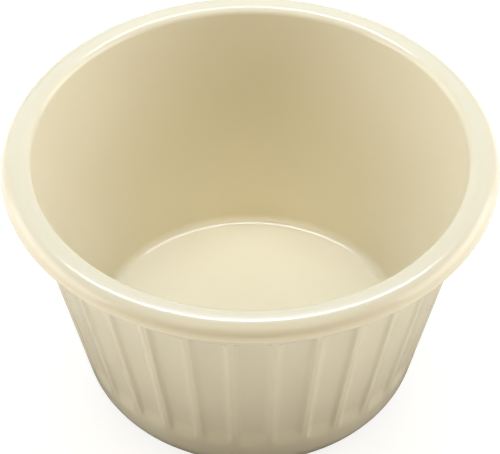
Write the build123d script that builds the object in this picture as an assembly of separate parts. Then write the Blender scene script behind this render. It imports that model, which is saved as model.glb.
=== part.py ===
from build123d import *
import math
import os

# Fluted ramekin, moulded in one piece: a small round dish with a thick rounded rim, a wall that
# narrows down to a rounded heel, shallow flutes round the outside and a foot ring below.
# Millimetres and degrees, +Z up, origin at the centre of the face that the dish stands on.

# Overall sizes
height = 50.0
rim_diameter = 82.0
rim_width = 4.8

# Wall and floor: both faces of the wall lean inwards by the same draft
wall_thickness = 2.1
wall_draft = 12.1
floor_thickness = 4.1
floor_chamfer = 1.3
heel_round = 9.0

# Rim: its top slopes down outwards, its edge is upright, and its underside slopes down to the wall
rim_top_slope = 5.0
rim_edge_height = 3.5
rim_underside_drop = 1.0
rim_under_chamfer = 0.8

# Foot ring round the shallow recess under the floor, set in from where the wall would reach the
# ground: outside it the underside rises to the heel
foot_inset = 5.1
foot_height = 4.2
foot_ring_width = 2.8
underside_slope = 28.0

# Flutes: wide shallow channels between narrow ridges, square at the top and fading out above the heel
flute_count = 32
ridge_width = 0.9
flute_depth = 0.45
flank_angle = 50.0
flute_top_below_rim = 9.1
flute_end_below_rim = 40.2
flute_fade_length = 2.8

# How far a cutter runs past the wall, and past the top of its flute before it is cut square
overrun = 1.0

# Levels, radii and rounds that follow from the sizes above
floor_level = foot_height + floor_thickness
rim_edge_level = height - rim_edge_height
neck_level = rim_edge_level - rim_underside_drop
flute_top_level = height - flute_top_below_rim
flute_end_level = height - flute_end_below_rim
flute_fade_level = flute_end_level + flute_fade_length
rim_radius = rim_diameter / 2
mouth_radius = rim_radius - rim_width
rim_round = (rim_edge_height - rim_under_chamfer) * 0.85
lip_round = rim_width * 0.33


def inside_radius(level):
    """Radius of the inner face of the wall at a level."""
    return mouth_radius - (height - level) * math.tan(math.radians(wall_draft))


def outside_radius(level):
    """Radius of the outer face of the wall at a level, before the flutes are cut."""
    return inside_radius(level) + wall_thickness


def eased(outline, rounds, chamfers):
    """The face inside an outline, with the corners in the two lists rounded or chamfered."""
    face = make_face(Polyline(*outline, close=True))
    for corner, radius in rounds:
        face = fillet(face.vertices().sort_by_distance(corner)[0], radius)
    for corner, length in chamfers:
        face = chamfer(face.vertices().sort_by_distance(corner)[0], length)
    return face


def lip_corner_level():
    """Level of the lip before it is rounded, which leaves the top of the round at the full height."""
    turn = math.radians(90 - wall_draft + rim_top_slope)
    slope = math.radians(rim_top_slope)
    return height + lip_round * (math.tan(turn / 2) * math.sin(slope) + math.cos(slope) - 1)


def heel_point(foot_radius):
    """Where the face of the wall and the sloping underside would meet without the heel's round."""
    slope = math.tan(math.radians(underside_slope))
    lean = math.tan(math.radians(wall_draft))
    radius = (outside_radius(0) - lean * slope * foot_radius) / (1 - lean * slope)
    return (radius, (radius - foot_radius) * slope)


def dish_section():
    """Half of the dish's cross-section: X is the radius and Y the level."""
    foot_radius = outside_radius(0) - foot_inset
    recess_radius = foot_radius - foot_ring_width
    heel_corner = heel_point(foot_radius)
    under_corner = (rim_radius, rim_edge_level)
    lip_corner = (mouth_radius, lip_corner_level())
    rim_corner = (rim_radius, lip_corner_level() - rim_width * math.tan(math.radians(rim_top_slope)))
    floor_corner = (inside_radius(floor_level), floor_level)
    outline = [
        (0, foot_height),
        (recess_radius, foot_height),
        (recess_radius, 0),
        (foot_radius, 0),
        heel_corner,
        (outside_radius(neck_level), neck_level),
        under_corner,
        rim_corner,
        lip_corner,
        floor_corner,
        (0, floor_level),
    ]
    rounds = [(heel_corner, heel_round), (rim_corner, rim_round), (lip_corner, lip_round)]
    chamfers = [(under_corner, rim_under_chamfer), (floor_corner, floor_chamfer)]
    return eased(outline, rounds, chamfers)


def flute_floor(level):
    """A flute's floor at a level: its distance from the axis and half of its width.

    The flute's depth is measured from the straight line between the two ridges beside it.
    """
    half_pitch = math.pi / flute_count
    ridge_line = outside_radius(level) * math.cos(half_pitch)
    half_mouth = outside_radius(level) * math.sin(half_pitch) - ridge_width / 2
    return (ridge_line - flute_depth, half_mouth - flute_depth * math.tan(math.radians(flank_angle)))


def fade_plane():
    """The slope that ends a flute: from the flute's floor out to the face of the wall."""
    floor_radius, half_width = flute_floor(flute_fade_level)
    wall_radius = outside_radius(flute_end_level)
    outward_up = (flute_fade_length, 0, wall_radius - floor_radius)
    return Plane(origin=(wall_radius, 0, flute_end_level), x_dir=(0, 1, 0), z_dir=outward_up)


def flute_cutter():
    """What one flute takes out of the wall: its floor, drawn outwards with leaning flanks."""
    start_level = flute_top_level + overrun
    start_radius, start_half = flute_floor(start_level)
    end_radius, end_half = flute_floor(flute_end_level)
    rise = start_level - flute_end_level
    lean = start_radius - end_radius
    length = math.hypot(rise, lean)
    corners = [(-end_half, 0), (end_half, 0), (start_half, length), (-start_half, length)]
    floor_plane = Plane(origin=(end_radius, 0, flute_end_level), x_dir=(0, 1, 0), z_dir=(rise, 0, -lean))
    floor = floor_plane * make_face(Polyline(*corners, close=True))
    channel = extrude(floor, amount=flute_depth + overrun, taper=-flank_angle)
    square_topped = split(channel, bisect_by=Plane.XY.offset(flute_top_level), keep=Keep.BOTTOM)
    return split(square_topped, bisect_by=fade_plane(), keep=Keep.TOP)


def ramekin_dish():
    """The dish, turned about its axis, with the flutes cut round it."""
    body = revolve(Plane.XZ * dish_section(), Axis.Z)
    return body - PolarLocations(0, flute_count) * flute_cutter()


os.makedirs("parts", exist_ok=True)
export_step(ramekin_dish(), "parts/ramekin_dish.step")
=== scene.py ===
import math

import bpy
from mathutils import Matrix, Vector


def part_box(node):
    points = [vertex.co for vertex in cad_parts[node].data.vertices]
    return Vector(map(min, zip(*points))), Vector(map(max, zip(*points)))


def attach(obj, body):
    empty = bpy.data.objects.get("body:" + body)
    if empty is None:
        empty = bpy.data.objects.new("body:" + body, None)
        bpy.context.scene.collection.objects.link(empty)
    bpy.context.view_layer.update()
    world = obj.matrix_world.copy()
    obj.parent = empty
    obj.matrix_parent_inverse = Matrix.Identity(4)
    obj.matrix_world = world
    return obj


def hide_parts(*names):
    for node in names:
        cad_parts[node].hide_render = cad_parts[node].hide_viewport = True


# A fluted ramekin in cream moulded plastic, standing on a pale floor in soft studio light.
# Sizes of the dish are in millimetres until they reach the mesh, and places in the scene in metres.

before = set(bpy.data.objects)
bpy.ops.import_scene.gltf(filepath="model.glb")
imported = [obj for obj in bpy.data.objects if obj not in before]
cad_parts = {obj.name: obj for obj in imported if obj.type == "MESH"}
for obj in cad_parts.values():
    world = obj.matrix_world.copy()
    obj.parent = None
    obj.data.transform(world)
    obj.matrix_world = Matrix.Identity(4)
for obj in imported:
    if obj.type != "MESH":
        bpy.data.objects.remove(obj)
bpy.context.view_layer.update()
MM = 0.001

# Overall size, from the frame
low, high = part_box("ramekin_dish")
height = (high.z - low.z) / MM
rim_radius = min(high.x, high.y, -low.x, -low.y) / MM

# Wall, floor and foot. The inner face leans a little more than the outer one, so the wall has this
# thickness at the mouth and is thicker below
wall_thickness = 2.1
outer_draft = 12.3
inner_draft = 12.7
floor_level = 8.0
floor_round = 1.8
heel_round = 8.4
foot_radius = 22.5
foot_ring_width = 2.8
foot_height = 4.2
foot_round = 0.7
recess_round = 2.0
underside_slope = 28.0

# Rim: its top slopes down outwards, and its underside slopes down to the wall
rim_width = 4.8
rim_top_slope = 5.0
rim_round = 2.6
rim_under_level = height - 3.0
rim_under_round = 0.4
neck_level = height - 4.2
neck_round = 1.2
lip_round = 1.6

# Flutes: shallow hollows between narrow ridges, soft at the top and fading out above the heel
flute_count = 32
ridge_width = 0.7
flank_width = 0.95
flute_depth = 0.32
flute_hollow = 0.10
flute_top_level = height - 8.0
flute_top_soft = 0.7
flute_end_level = height - 40.7
fade_length = 4.6

# Columns of the mesh: how many a flute has, and how much they crowd together at its ridges
steps_per_flute = 20
crowding = 0.72

# Rings of the mesh: steps in a round, rings along a flute's fade, shaft and top, how far each run of
# rings starts or ends from its part of the flute, and how far the plain rings above and below lie
arc_steps = 9
fade_rings = 12
shaft_rings = 4
flute_top_rings = 9
fade_margin = 0.2
shaft_margin = 4.0
flute_top_margin = 0.1
below_fade_gap = 0.5
above_flute_gap = 0.8

# How far inside the outer wall a ring may lie and still take flutes, which keeps them off the inner
# wall, and how near each other two points become one
wall_margin = 1.0
merge_distance = 0.002

# Radii and slopes that follow
mouth_radius = rim_radius - rim_width
outer_lean = math.tan(math.radians(outer_draft))
inner_lean = math.tan(math.radians(inner_draft))


def inside_radius(level):
    """Radius of the inner face of the wall at a level."""
    return mouth_radius - (height - level) * inner_lean


def outside_radius(level):
    """Radius of the outer face of the wall at a level, with the flutes left out."""
    return mouth_radius + wall_thickness - (height - level) * outer_lean


def spread(start, end, count):
    """Evenly spaced numbers from start to end, both included."""
    return [start + (end - start) * i / (count - 1) for i in range(count)]


class Tree:
    """A node tree being built. node() adds any node: its settings are made first, then its inputs."""

    def __init__(self, tree):
        self.tree = tree
        tree.nodes.clear()

    def node(self, kind, settings=None, inputs=None):
        made = self.tree.nodes.new(kind)
        for name, value in (settings or {}).items():
            setattr(made, name, value)
        for name, value in (inputs or {}).items():
            self.feed(made.inputs[name], value)
        return made

    def feed(self, socket, value):
        if isinstance(value, Term):
            value = value.socket
        if isinstance(value, bpy.types.NodeSocket):
            self.tree.links.new(value, socket)
        else:
            socket.default_value = value

    def math(self, operation, *values):
        made = self.node("ShaderNodeMath", {"operation": operation}, dict(enumerate(values)))
        return Term(self, made.outputs[0])

    def term(self, node, output=0):
        return Term(self, node.outputs[output])

    def smooth(self, value, start, end, low=0.0, high=1.0):
        """A soft step of a value, from low at start to high at end."""
        made = self.node(
            "ShaderNodeMapRange",
            {"interpolation_type": "SMOOTHSTEP"},
            {"Value": value, "From Min": start, "From Max": end, "To Min": low, "To Max": high},
        )
        return self.term(made)


class Term:
    """A number in a node tree. Python's operators on it add Math nodes."""

    def __init__(self, tree, socket):
        self.tree = tree
        self.socket = socket

    def __add__(self, other):
        return self.tree.math("ADD", self, other)

    def __sub__(self, other):
        return self.tree.math("SUBTRACT", self, other)

    def __rsub__(self, other):
        return self.tree.math("SUBTRACT", other, self)

    def __mul__(self, other):
        return self.tree.math("MULTIPLY", self, other)

    def __truediv__(self, other):
        return self.tree.math("DIVIDE", self, other)

    def __rtruediv__(self, other):
        return self.tree.math("DIVIDE", other, self)

    def __gt__(self, other):
        return self.tree.math("GREATER_THAN", self, other)

    __radd__ = __add__
    __rmul__ = __mul__


def dish_corners():
    """The corners of half of the dish's cross-section, from the axis below to the axis above.

    Each is its radius, its level and the round on it.
    """
    slope = math.tan(math.radians(underside_slope))
    heel_radius = (outside_radius(0) - outer_lean * slope * foot_radius) / (1 - outer_lean * slope)
    recess_radius = foot_radius - foot_ring_width
    top_slope = math.radians(rim_top_slope)
    lip_turn = math.radians(90 - inner_draft + rim_top_slope)
    lip_rise = lip_round * (math.tan(lip_turn / 2) * math.sin(top_slope) + math.cos(top_slope) - 1)
    lip_level = height + lip_rise
    fade_top = flute_end_level + fade_length
    soft_start = flute_top_level - flute_top_soft
    wall_levels = [
        flute_end_level - below_fade_gap,
        *spread(flute_end_level - fade_margin, fade_top + fade_margin, fade_rings),
        *spread(fade_top + shaft_margin, flute_top_level - shaft_margin, shaft_rings),
        *spread(soft_start - flute_top_margin, flute_top_level + flute_top_margin, flute_top_rings),
        flute_top_level + above_flute_gap,
    ]
    return [
        (0, foot_height, 0),
        (recess_radius, foot_height, recess_round),
        (recess_radius, 0, foot_round),
        (foot_radius, 0, foot_round),
        (heel_radius, (heel_radius - foot_radius) * slope, heel_round),
        *[(outside_radius(level), level, 0) for level in wall_levels],
        (outside_radius(neck_level), neck_level, neck_round),
        (rim_radius, rim_under_level, rim_under_round),
        (rim_radius, lip_level - rim_width * math.tan(top_slope), rim_round),
        (mouth_radius, lip_level, lip_round),
        (inside_radius(floor_level), floor_level, floor_round),
        (0, floor_level, 0),
    ]


def section_curve():
    """The cross-section as a curve of straight runs. Each point's radius is the round that it gets."""
    corners = dish_corners()
    curve = bpy.data.curves.new("dish_section", "CURVE")
    curve.dimensions = "3D"
    spline = curve.splines.new("POLY")
    spline.points.add(len(corners) - 1)
    for point, (radius, level, rounding) in zip(spline.points, corners):
        point.co = (radius * MM, 0, level * MM, 1)
        point.radius = rounding * MM
    section = bpy.data.objects.new("fluted_dish", curve)
    bpy.context.scene.collection.objects.link(section)
    return section


def dish_tree():
    """Geometry nodes that turn the cross-section about Z and press the flutes into the wall."""
    group = bpy.data.node_groups.new("turned_and_fluted", "GeometryNodeTree")
    group.interface.new_socket("Section", in_out="INPUT", socket_type="NodeSocketGeometry")
    for name in ("Flutes", "Steps per flute", "Arc steps"):
        group.interface.new_socket(name, in_out="INPUT", socket_type="NodeSocketInt")
    wall_sizes = ("Crowding", "Wall radius at zero", "Wall lean", "Wall margin", "Merge distance")
    ridge_sizes = ("Ridge width", "Flank width", "Flute depth", "Flute hollow")
    level_sizes = ("Flute top", "Top softness", "Flute end", "Fade length")
    for name in wall_sizes + ridge_sizes + level_sizes:
        group.interface.new_socket(name, in_out="INPUT", socket_type="NodeSocketFloat")
    group.interface.new_socket("Finish", in_out="INPUT", socket_type="NodeSocketMaterial")
    group.interface.new_socket("Dish", in_out="OUTPUT", socket_type="NodeSocketGeometry")

    tree = Tree(group)
    given = tree.node("NodeGroupInput")

    def size(name):
        return Term(tree, given.outputs[name])

    # The rounded section, one point for each ring of the mesh
    round_radius = tree.node("GeometryNodeInputRadius").outputs[0]
    rounded = tree.node(
        "GeometryNodeFilletCurve",
        {"mode": "POLY"},
        {"Curve": given.outputs["Section"], "Count": size("Arc steps"), "Radius": round_radius},
    )
    counted = tree.node(
        "GeometryNodeAttributeDomainSize", {"component": "CURVE"}, {0: rounded.outputs[0]}
    )
    rings = tree.term(counted)
    columns = size("Flutes") * size("Steps per flute")
    sheet = tree.node(
        "GeometryNodeMeshGrid",
        inputs={"Size X": 1.0, "Size Y": 1.0, "Vertices X": columns + 1, "Vertices Y": rings},
    )

    # The sheet runs from -0.5 to 0.5 both ways. Its columns go round the dish and its rings follow
    # the section
    place = tree.node("GeometryNodeInputPosition").outputs[0]
    sheet_place = tree.node("ShaderNodeSeparateXYZ", inputs={0: place})
    column = tree.math("ROUND", (tree.term(sheet_place, 0) + 0.5) * columns)
    ring = tree.math("ROUND", (tree.term(sheet_place, 1) + 0.5) * (rings - 1))
    sampled = tree.node(
        "GeometryNodeSampleIndex",
        {"data_type": "FLOAT_VECTOR", "domain": "POINT"},
        {"Geometry": rounded.outputs[0], "Value": place, "Index": ring},
    )
    section_place = tree.node("ShaderNodeSeparateXYZ", inputs={0: sampled.outputs[0]})
    radius = tree.term(section_place, 0)
    level = tree.term(section_place, 2)

    # Turn about the axis: the columns crowd together at the ridges
    step = tree.math("MODULO", column, size("Steps per flute")) / size("Steps per flute")
    flute = tree.math("FLOOR", column / size("Steps per flute"))
    turn = 2 * math.pi
    across = step - size("Crowding") * tree.math("SINE", step * turn) / turn
    pitch = turn / size("Flutes")
    azimuth = (flute + across - 0.5) * pitch - math.pi / 2
    from_ridge = tree.math("MINIMUM", across, 1 - across)
    off_centre = (0.5 - from_ridge) * pitch

    # The radius of a flute's floor: flat between its two ridges, less its slight hollow
    flat = radius * tree.math("COSINE", pitch / 2) - size("Flute depth")
    hollow = size("Flute hollow") * tree.math("COSINE", off_centre / pitch * math.pi)
    flute_radius = flat / tree.math("COSINE", off_centre) - hollow
    arc = from_ridge * pitch * radius
    ridge_half = size("Ridge width") / 2
    in_flute = tree.smooth(arc, ridge_half, ridge_half + size("Flank width"))
    flute_top = size("Flute top")
    below_top = tree.smooth(level, flute_top - size("Top softness"), flute_top, 1.0, 0.0)
    above_end = tree.smooth(level, size("Flute end"), size("Flute end") + size("Fade length"))
    wall_radius = size("Wall radius at zero") + level * size("Wall lean")
    on_outer_wall = radius > wall_radius - size("Wall margin")
    share = in_flute * below_top * above_end * on_outer_wall
    fluted_radius = radius - (radius - flute_radius) * share

    placed = tree.node(
        "ShaderNodeCombineXYZ",
        inputs={
            0: fluted_radius * tree.math("COSINE", azimuth),
            1: fluted_radius * tree.math("SINE", azimuth),
            2: level,
        },
    )
    turned = tree.node(
        "GeometryNodeSetPosition",
        inputs={"Geometry": sheet.outputs["Mesh"], "Position": placed.outputs[0]},
    )
    closed = tree.node(
        "GeometryNodeMergeByDistance",
        inputs={"Geometry": turned.outputs[0], "Distance": size("Merge distance")},
    )
    smooth = tree.node("GeometryNodeSetShadeSmooth", inputs={0: closed.outputs[0]})
    real = tree.node("GeometryNodeRealizeInstances", inputs={0: smooth.outputs[0]})
    coated = tree.node(
        "GeometryNodeSetMaterial",
        inputs={"Geometry": real.outputs[0], "Material": given.outputs["Finish"]},
    )
    tree.node("NodeGroupOutput", inputs={0: coated.outputs[0]})
    return group


def moulded_cream():
    """Cream moulded plastic with a soft shine: faintly clouded, with a very fine orange peel."""
    deep_cream = (0.825, 0.750, 0.564, 1)
    light_cream = (0.840, 0.766, 0.582, 1)
    least_roughness = 0.18
    cloud_roughness = 0.03
    grain_roughness = 0.02
    peel_depth = 0.05 * MM
    finish = bpy.data.materials.new("moulded_cream")
    finish.use_nodes = True
    tree = Tree(finish.node_tree)
    place = tree.node("ShaderNodeTexCoord").outputs["Object"]
    cloud = tree.node(
        "ShaderNodeTexNoise",
        inputs={"Vector": place, "Scale": 38.0, "Detail": 3.0, "Roughness": 0.5},
    )
    grain = tree.node("ShaderNodeTexNoise", inputs={"Vector": place, "Scale": 900.0, "Detail": 2.0})
    peel = tree.node("ShaderNodeTexNoise", inputs={"Vector": place, "Scale": 420.0, "Detail": 2.0})
    cloudiness = tree.smooth(tree.term(cloud), 0.3, 0.7)
    colour = tree.node(
        "ShaderNodeMix",
        {"data_type": "RGBA"},
        {"Factor": cloudiness, "A": deep_cream, "B": light_cream},
    )
    roughness = least_roughness + cloud_roughness * cloudiness + grain_roughness * tree.term(grain)
    bump = tree.node(
        "ShaderNodeBump",
        inputs={"Strength": 0.05, "Distance": peel_depth, "Height": tree.term(peel)},
    )
    shader = tree.node(
        "ShaderNodeBsdfPrincipled",
        inputs={
            "Base Color": colour.outputs["Result"],
            "Roughness": roughness,
            "IOR": 1.5,
            "Normal": bump.outputs[0],
        },
    )
    tree.node("ShaderNodeOutputMaterial", inputs={"Surface": shader.outputs[0]})
    return finish


def fluted_dish(finish):
    """The dish as one plain mesh, made by the geometry nodes."""
    section = section_curve()
    group = dish_tree()
    modifier = section.modifiers.new("turned_and_fluted", "NODES")
    modifier.node_group = group
    sizes = {
        "Flutes": flute_count,
        "Steps per flute": steps_per_flute,
        "Arc steps": arc_steps,
        "Crowding": crowding,
        "Wall radius at zero": outside_radius(0) * MM,
        "Wall lean": outer_lean,
        "Wall margin": wall_margin * MM,
        "Merge distance": merge_distance * MM,
        "Ridge width": ridge_width * MM,
        "Flank width": flank_width * MM,
        "Flute depth": flute_depth * MM,
        "Flute hollow": flute_hollow * MM,
        "Flute top": flute_top_level * MM,
        "Top softness": flute_top_soft * MM,
        "Flute end": flute_end_level * MM,
        "Fade length": fade_length * MM,
        "Finish": finish,
    }
    for item in group.interface.items_tree:
        if item.in_out == "INPUT" and item.name in sizes:
            modifier[item.identifier] = sizes[item.name]
    bpy.context.view_layer.update()
    evaluated = section.evaluated_get(bpy.context.evaluated_depsgraph_get())
    mesh = bpy.data.meshes.new_from_object(evaluated)
    section.modifiers.remove(modifier)
    bpy.data.objects.remove(section)
    dish = bpy.data.objects.new("fluted_dish", mesh)
    bpy.context.scene.collection.objects.link(dish)
    return dish


def studio_floor():
    """A wide white floor. To the camera it is white and keeps the dish's shadow.

    To everything else it is a pale floor with painted shade near the dish and, farther away, a painted
    glow, though it is no lamp, that lights the outer wall from below.
    """
    reach = 3.0
    white = (1, 1, 1, 1)
    seen_grey = (0.35, 0.35, 0.35, 1)
    seen_glow = 0.8
    # Painted shade: to bounced light the floor darkens near the dish, standing in for the dish's
    # shadow on it
    painted_shade_grey, far_grey = 0.15, 0.85
    painted_shade_start, painted_shade_end = 0.025, 0.07
    # Painted light: away from the dish the floor glows, though it is no lamp, lighting the outer wall
    # from below
    painted_glow_strength = 0.555
    painted_glow_start, painted_glow_end = 0.04, 0.12
    mesh = bpy.data.meshes.new("floor")
    corners = [(-reach, -reach, 0), (reach, -reach, 0), (reach, reach, 0), (-reach, reach, 0)]
    mesh.from_pydata(corners, [], [(0, 1, 2, 3)])
    floor = bpy.data.objects.new("floor", mesh)
    bpy.context.scene.collection.objects.link(floor)
    paint = bpy.data.materials.new("white_floor")
    paint.use_nodes = True
    tree = Tree(paint.node_tree)
    place = tree.node("ShaderNodeTexCoord").outputs["Object"]
    distance = tree.node("ShaderNodeVectorMath", {"operation": "LENGTH"}, {0: place})
    away = tree.term(distance, "Value")
    # Painted shade: the floor's colour darkens towards the dish
    painted_shade_lightness = tree.smooth(away, painted_shade_start, painted_shade_end, painted_shade_grey, far_grey)
    matt = tree.node("ShaderNodeBsdfDiffuse", inputs={"Color": painted_shade_lightness})
    # Painted light: the floor's glow, not seen by the camera, which lights the dish from below
    painted_glow_away = tree.smooth(away, painted_glow_start, painted_glow_end, 0.0, painted_glow_strength)
    painted_glow_from_below = tree.node("ShaderNodeEmission", inputs={"Color": white, "Strength": painted_glow_away})
    unseen = tree.node("ShaderNodeAddShader", inputs={0: matt.outputs[0], 1: painted_glow_from_below.outputs[0]})
    shadowed = tree.node("ShaderNodeBsdfDiffuse", inputs={"Color": seen_grey})
    glow = tree.node("ShaderNodeEmission", inputs={"Color": white, "Strength": seen_glow})
    seen = tree.node("ShaderNodeAddShader", inputs={0: shadowed.outputs[0], 1: glow.outputs[0]})
    rays = tree.node("ShaderNodeLightPath")
    mixed = tree.node(
        "ShaderNodeMixShader",
        inputs={0: rays.outputs["Is Camera Ray"], 1: unseen.outputs[0], 2: seen.outputs[0]},
    )
    tree.node("ShaderNodeOutputMaterial", inputs={"Surface": mixed.outputs[0]})
    mesh.materials.append(paint)


def softbox(name, place, width, depth, power, colour):
    """A rectangular area lamp that faces the middle of the dish. Its power is in watts."""
    middle = Vector((0, 0, 0.03))
    lamp = bpy.data.lights.new(name, "AREA")
    lamp.shape = "RECTANGLE"
    lamp.size = width
    lamp.size_y = depth
    lamp.energy = power
    lamp.color = colour
    holder = bpy.data.objects.new(name, lamp)
    holder.location = place
    holder.rotation_euler = (middle - Vector(place)).to_track_quat("-Z", "Y").to_euler()
    bpy.context.scene.collection.objects.link(holder)


def studio_light():
    """A cool strip overhead, a warm light behind, one at each side and a warm fill high in front.

    The strip makes the highlight round the rim and the line at the floor's edge. The room is dark to
    everything but the camera, which sees it white.
    """
    side_width, side_depth = 0.9, 0.5
    side_reach, side_level = 0.79, 0.26
    world = bpy.data.worlds.new("white_room")
    world.use_nodes = True
    tree = Tree(world.node_tree)
    rays = tree.node("ShaderNodeLightPath")
    seen = tree.term(rays, "Is Camera Ray")
    glow = tree.node("ShaderNodeBackground", inputs={"Color": (1, 1, 1, 1), "Strength": seen})
    tree.node("ShaderNodeOutputWorld", inputs={"Surface": glow.outputs[0]})
    bpy.context.scene.world = world
    softbox(
        "overhead_strip",
        place=(0, 0.082, 0.30), width=0.29, depth=0.012,
        power=0.77, colour=(0.70, 0.82, 1.0),
    )
    softbox(
        "back",
        place=(0, 0.86, 0.43), width=1.5, depth=0.9,
        power=0.95, colour=(1.0, 0.80, 0.53),
    )
    softbox(
        "left_side",
        place=(-side_reach, 0, side_level), width=side_width, depth=side_depth,
        power=4.3, colour=(1.0, 0.99, 0.98),
    )
    softbox(
        "right_side",
        place=(side_reach, 0, side_level), width=side_width, depth=side_depth,
        power=4.5, colour=(1.0, 0.98, 0.96),
    )
    softbox(
        "front_fill",
        place=(0, -0.45, 0.75), width=0.9, depth=0.5,
        power=1.98, colour=(1.0, 0.78, 0.33),
    )


def studio_camera():
    """The camera, at the photograph's angle: high in front of the dish, far off with a long lens."""
    elevation = math.radians(44.2)
    azimuth = math.radians(-0.65)
    rim_radii_away = 10
    distance = rim_radii_away * rim_radius * MM
    target_left = 0.03
    target_below_rim = 0.436 * rim_radius
    target = Vector((-target_left * MM, 0, (height - target_below_rim) * MM))
    level_distance = distance * math.cos(elevation)
    away = Vector((
        math.sin(azimuth) * level_distance,
        -math.cos(azimuth) * level_distance,
        distance * math.sin(elevation),
    ))
    lens = bpy.data.cameras.new("camera")
    lens.lens = 174.9
    lens.sensor_width = 36.0
    camera = bpy.data.objects.new("camera", lens)
    camera.location = target + away
    camera.rotation_euler = (-away).to_track_quat("-Z", "Y").to_euler()
    bpy.context.scene.collection.objects.link(camera)
    bpy.context.scene.camera = camera


bpy.context.scene.view_settings.view_transform = "Standard"
studio_camera()
dish = fluted_dish(moulded_cream())
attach(dish, "root")
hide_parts("ramekin_dish")
studio_floor()
studio_light()
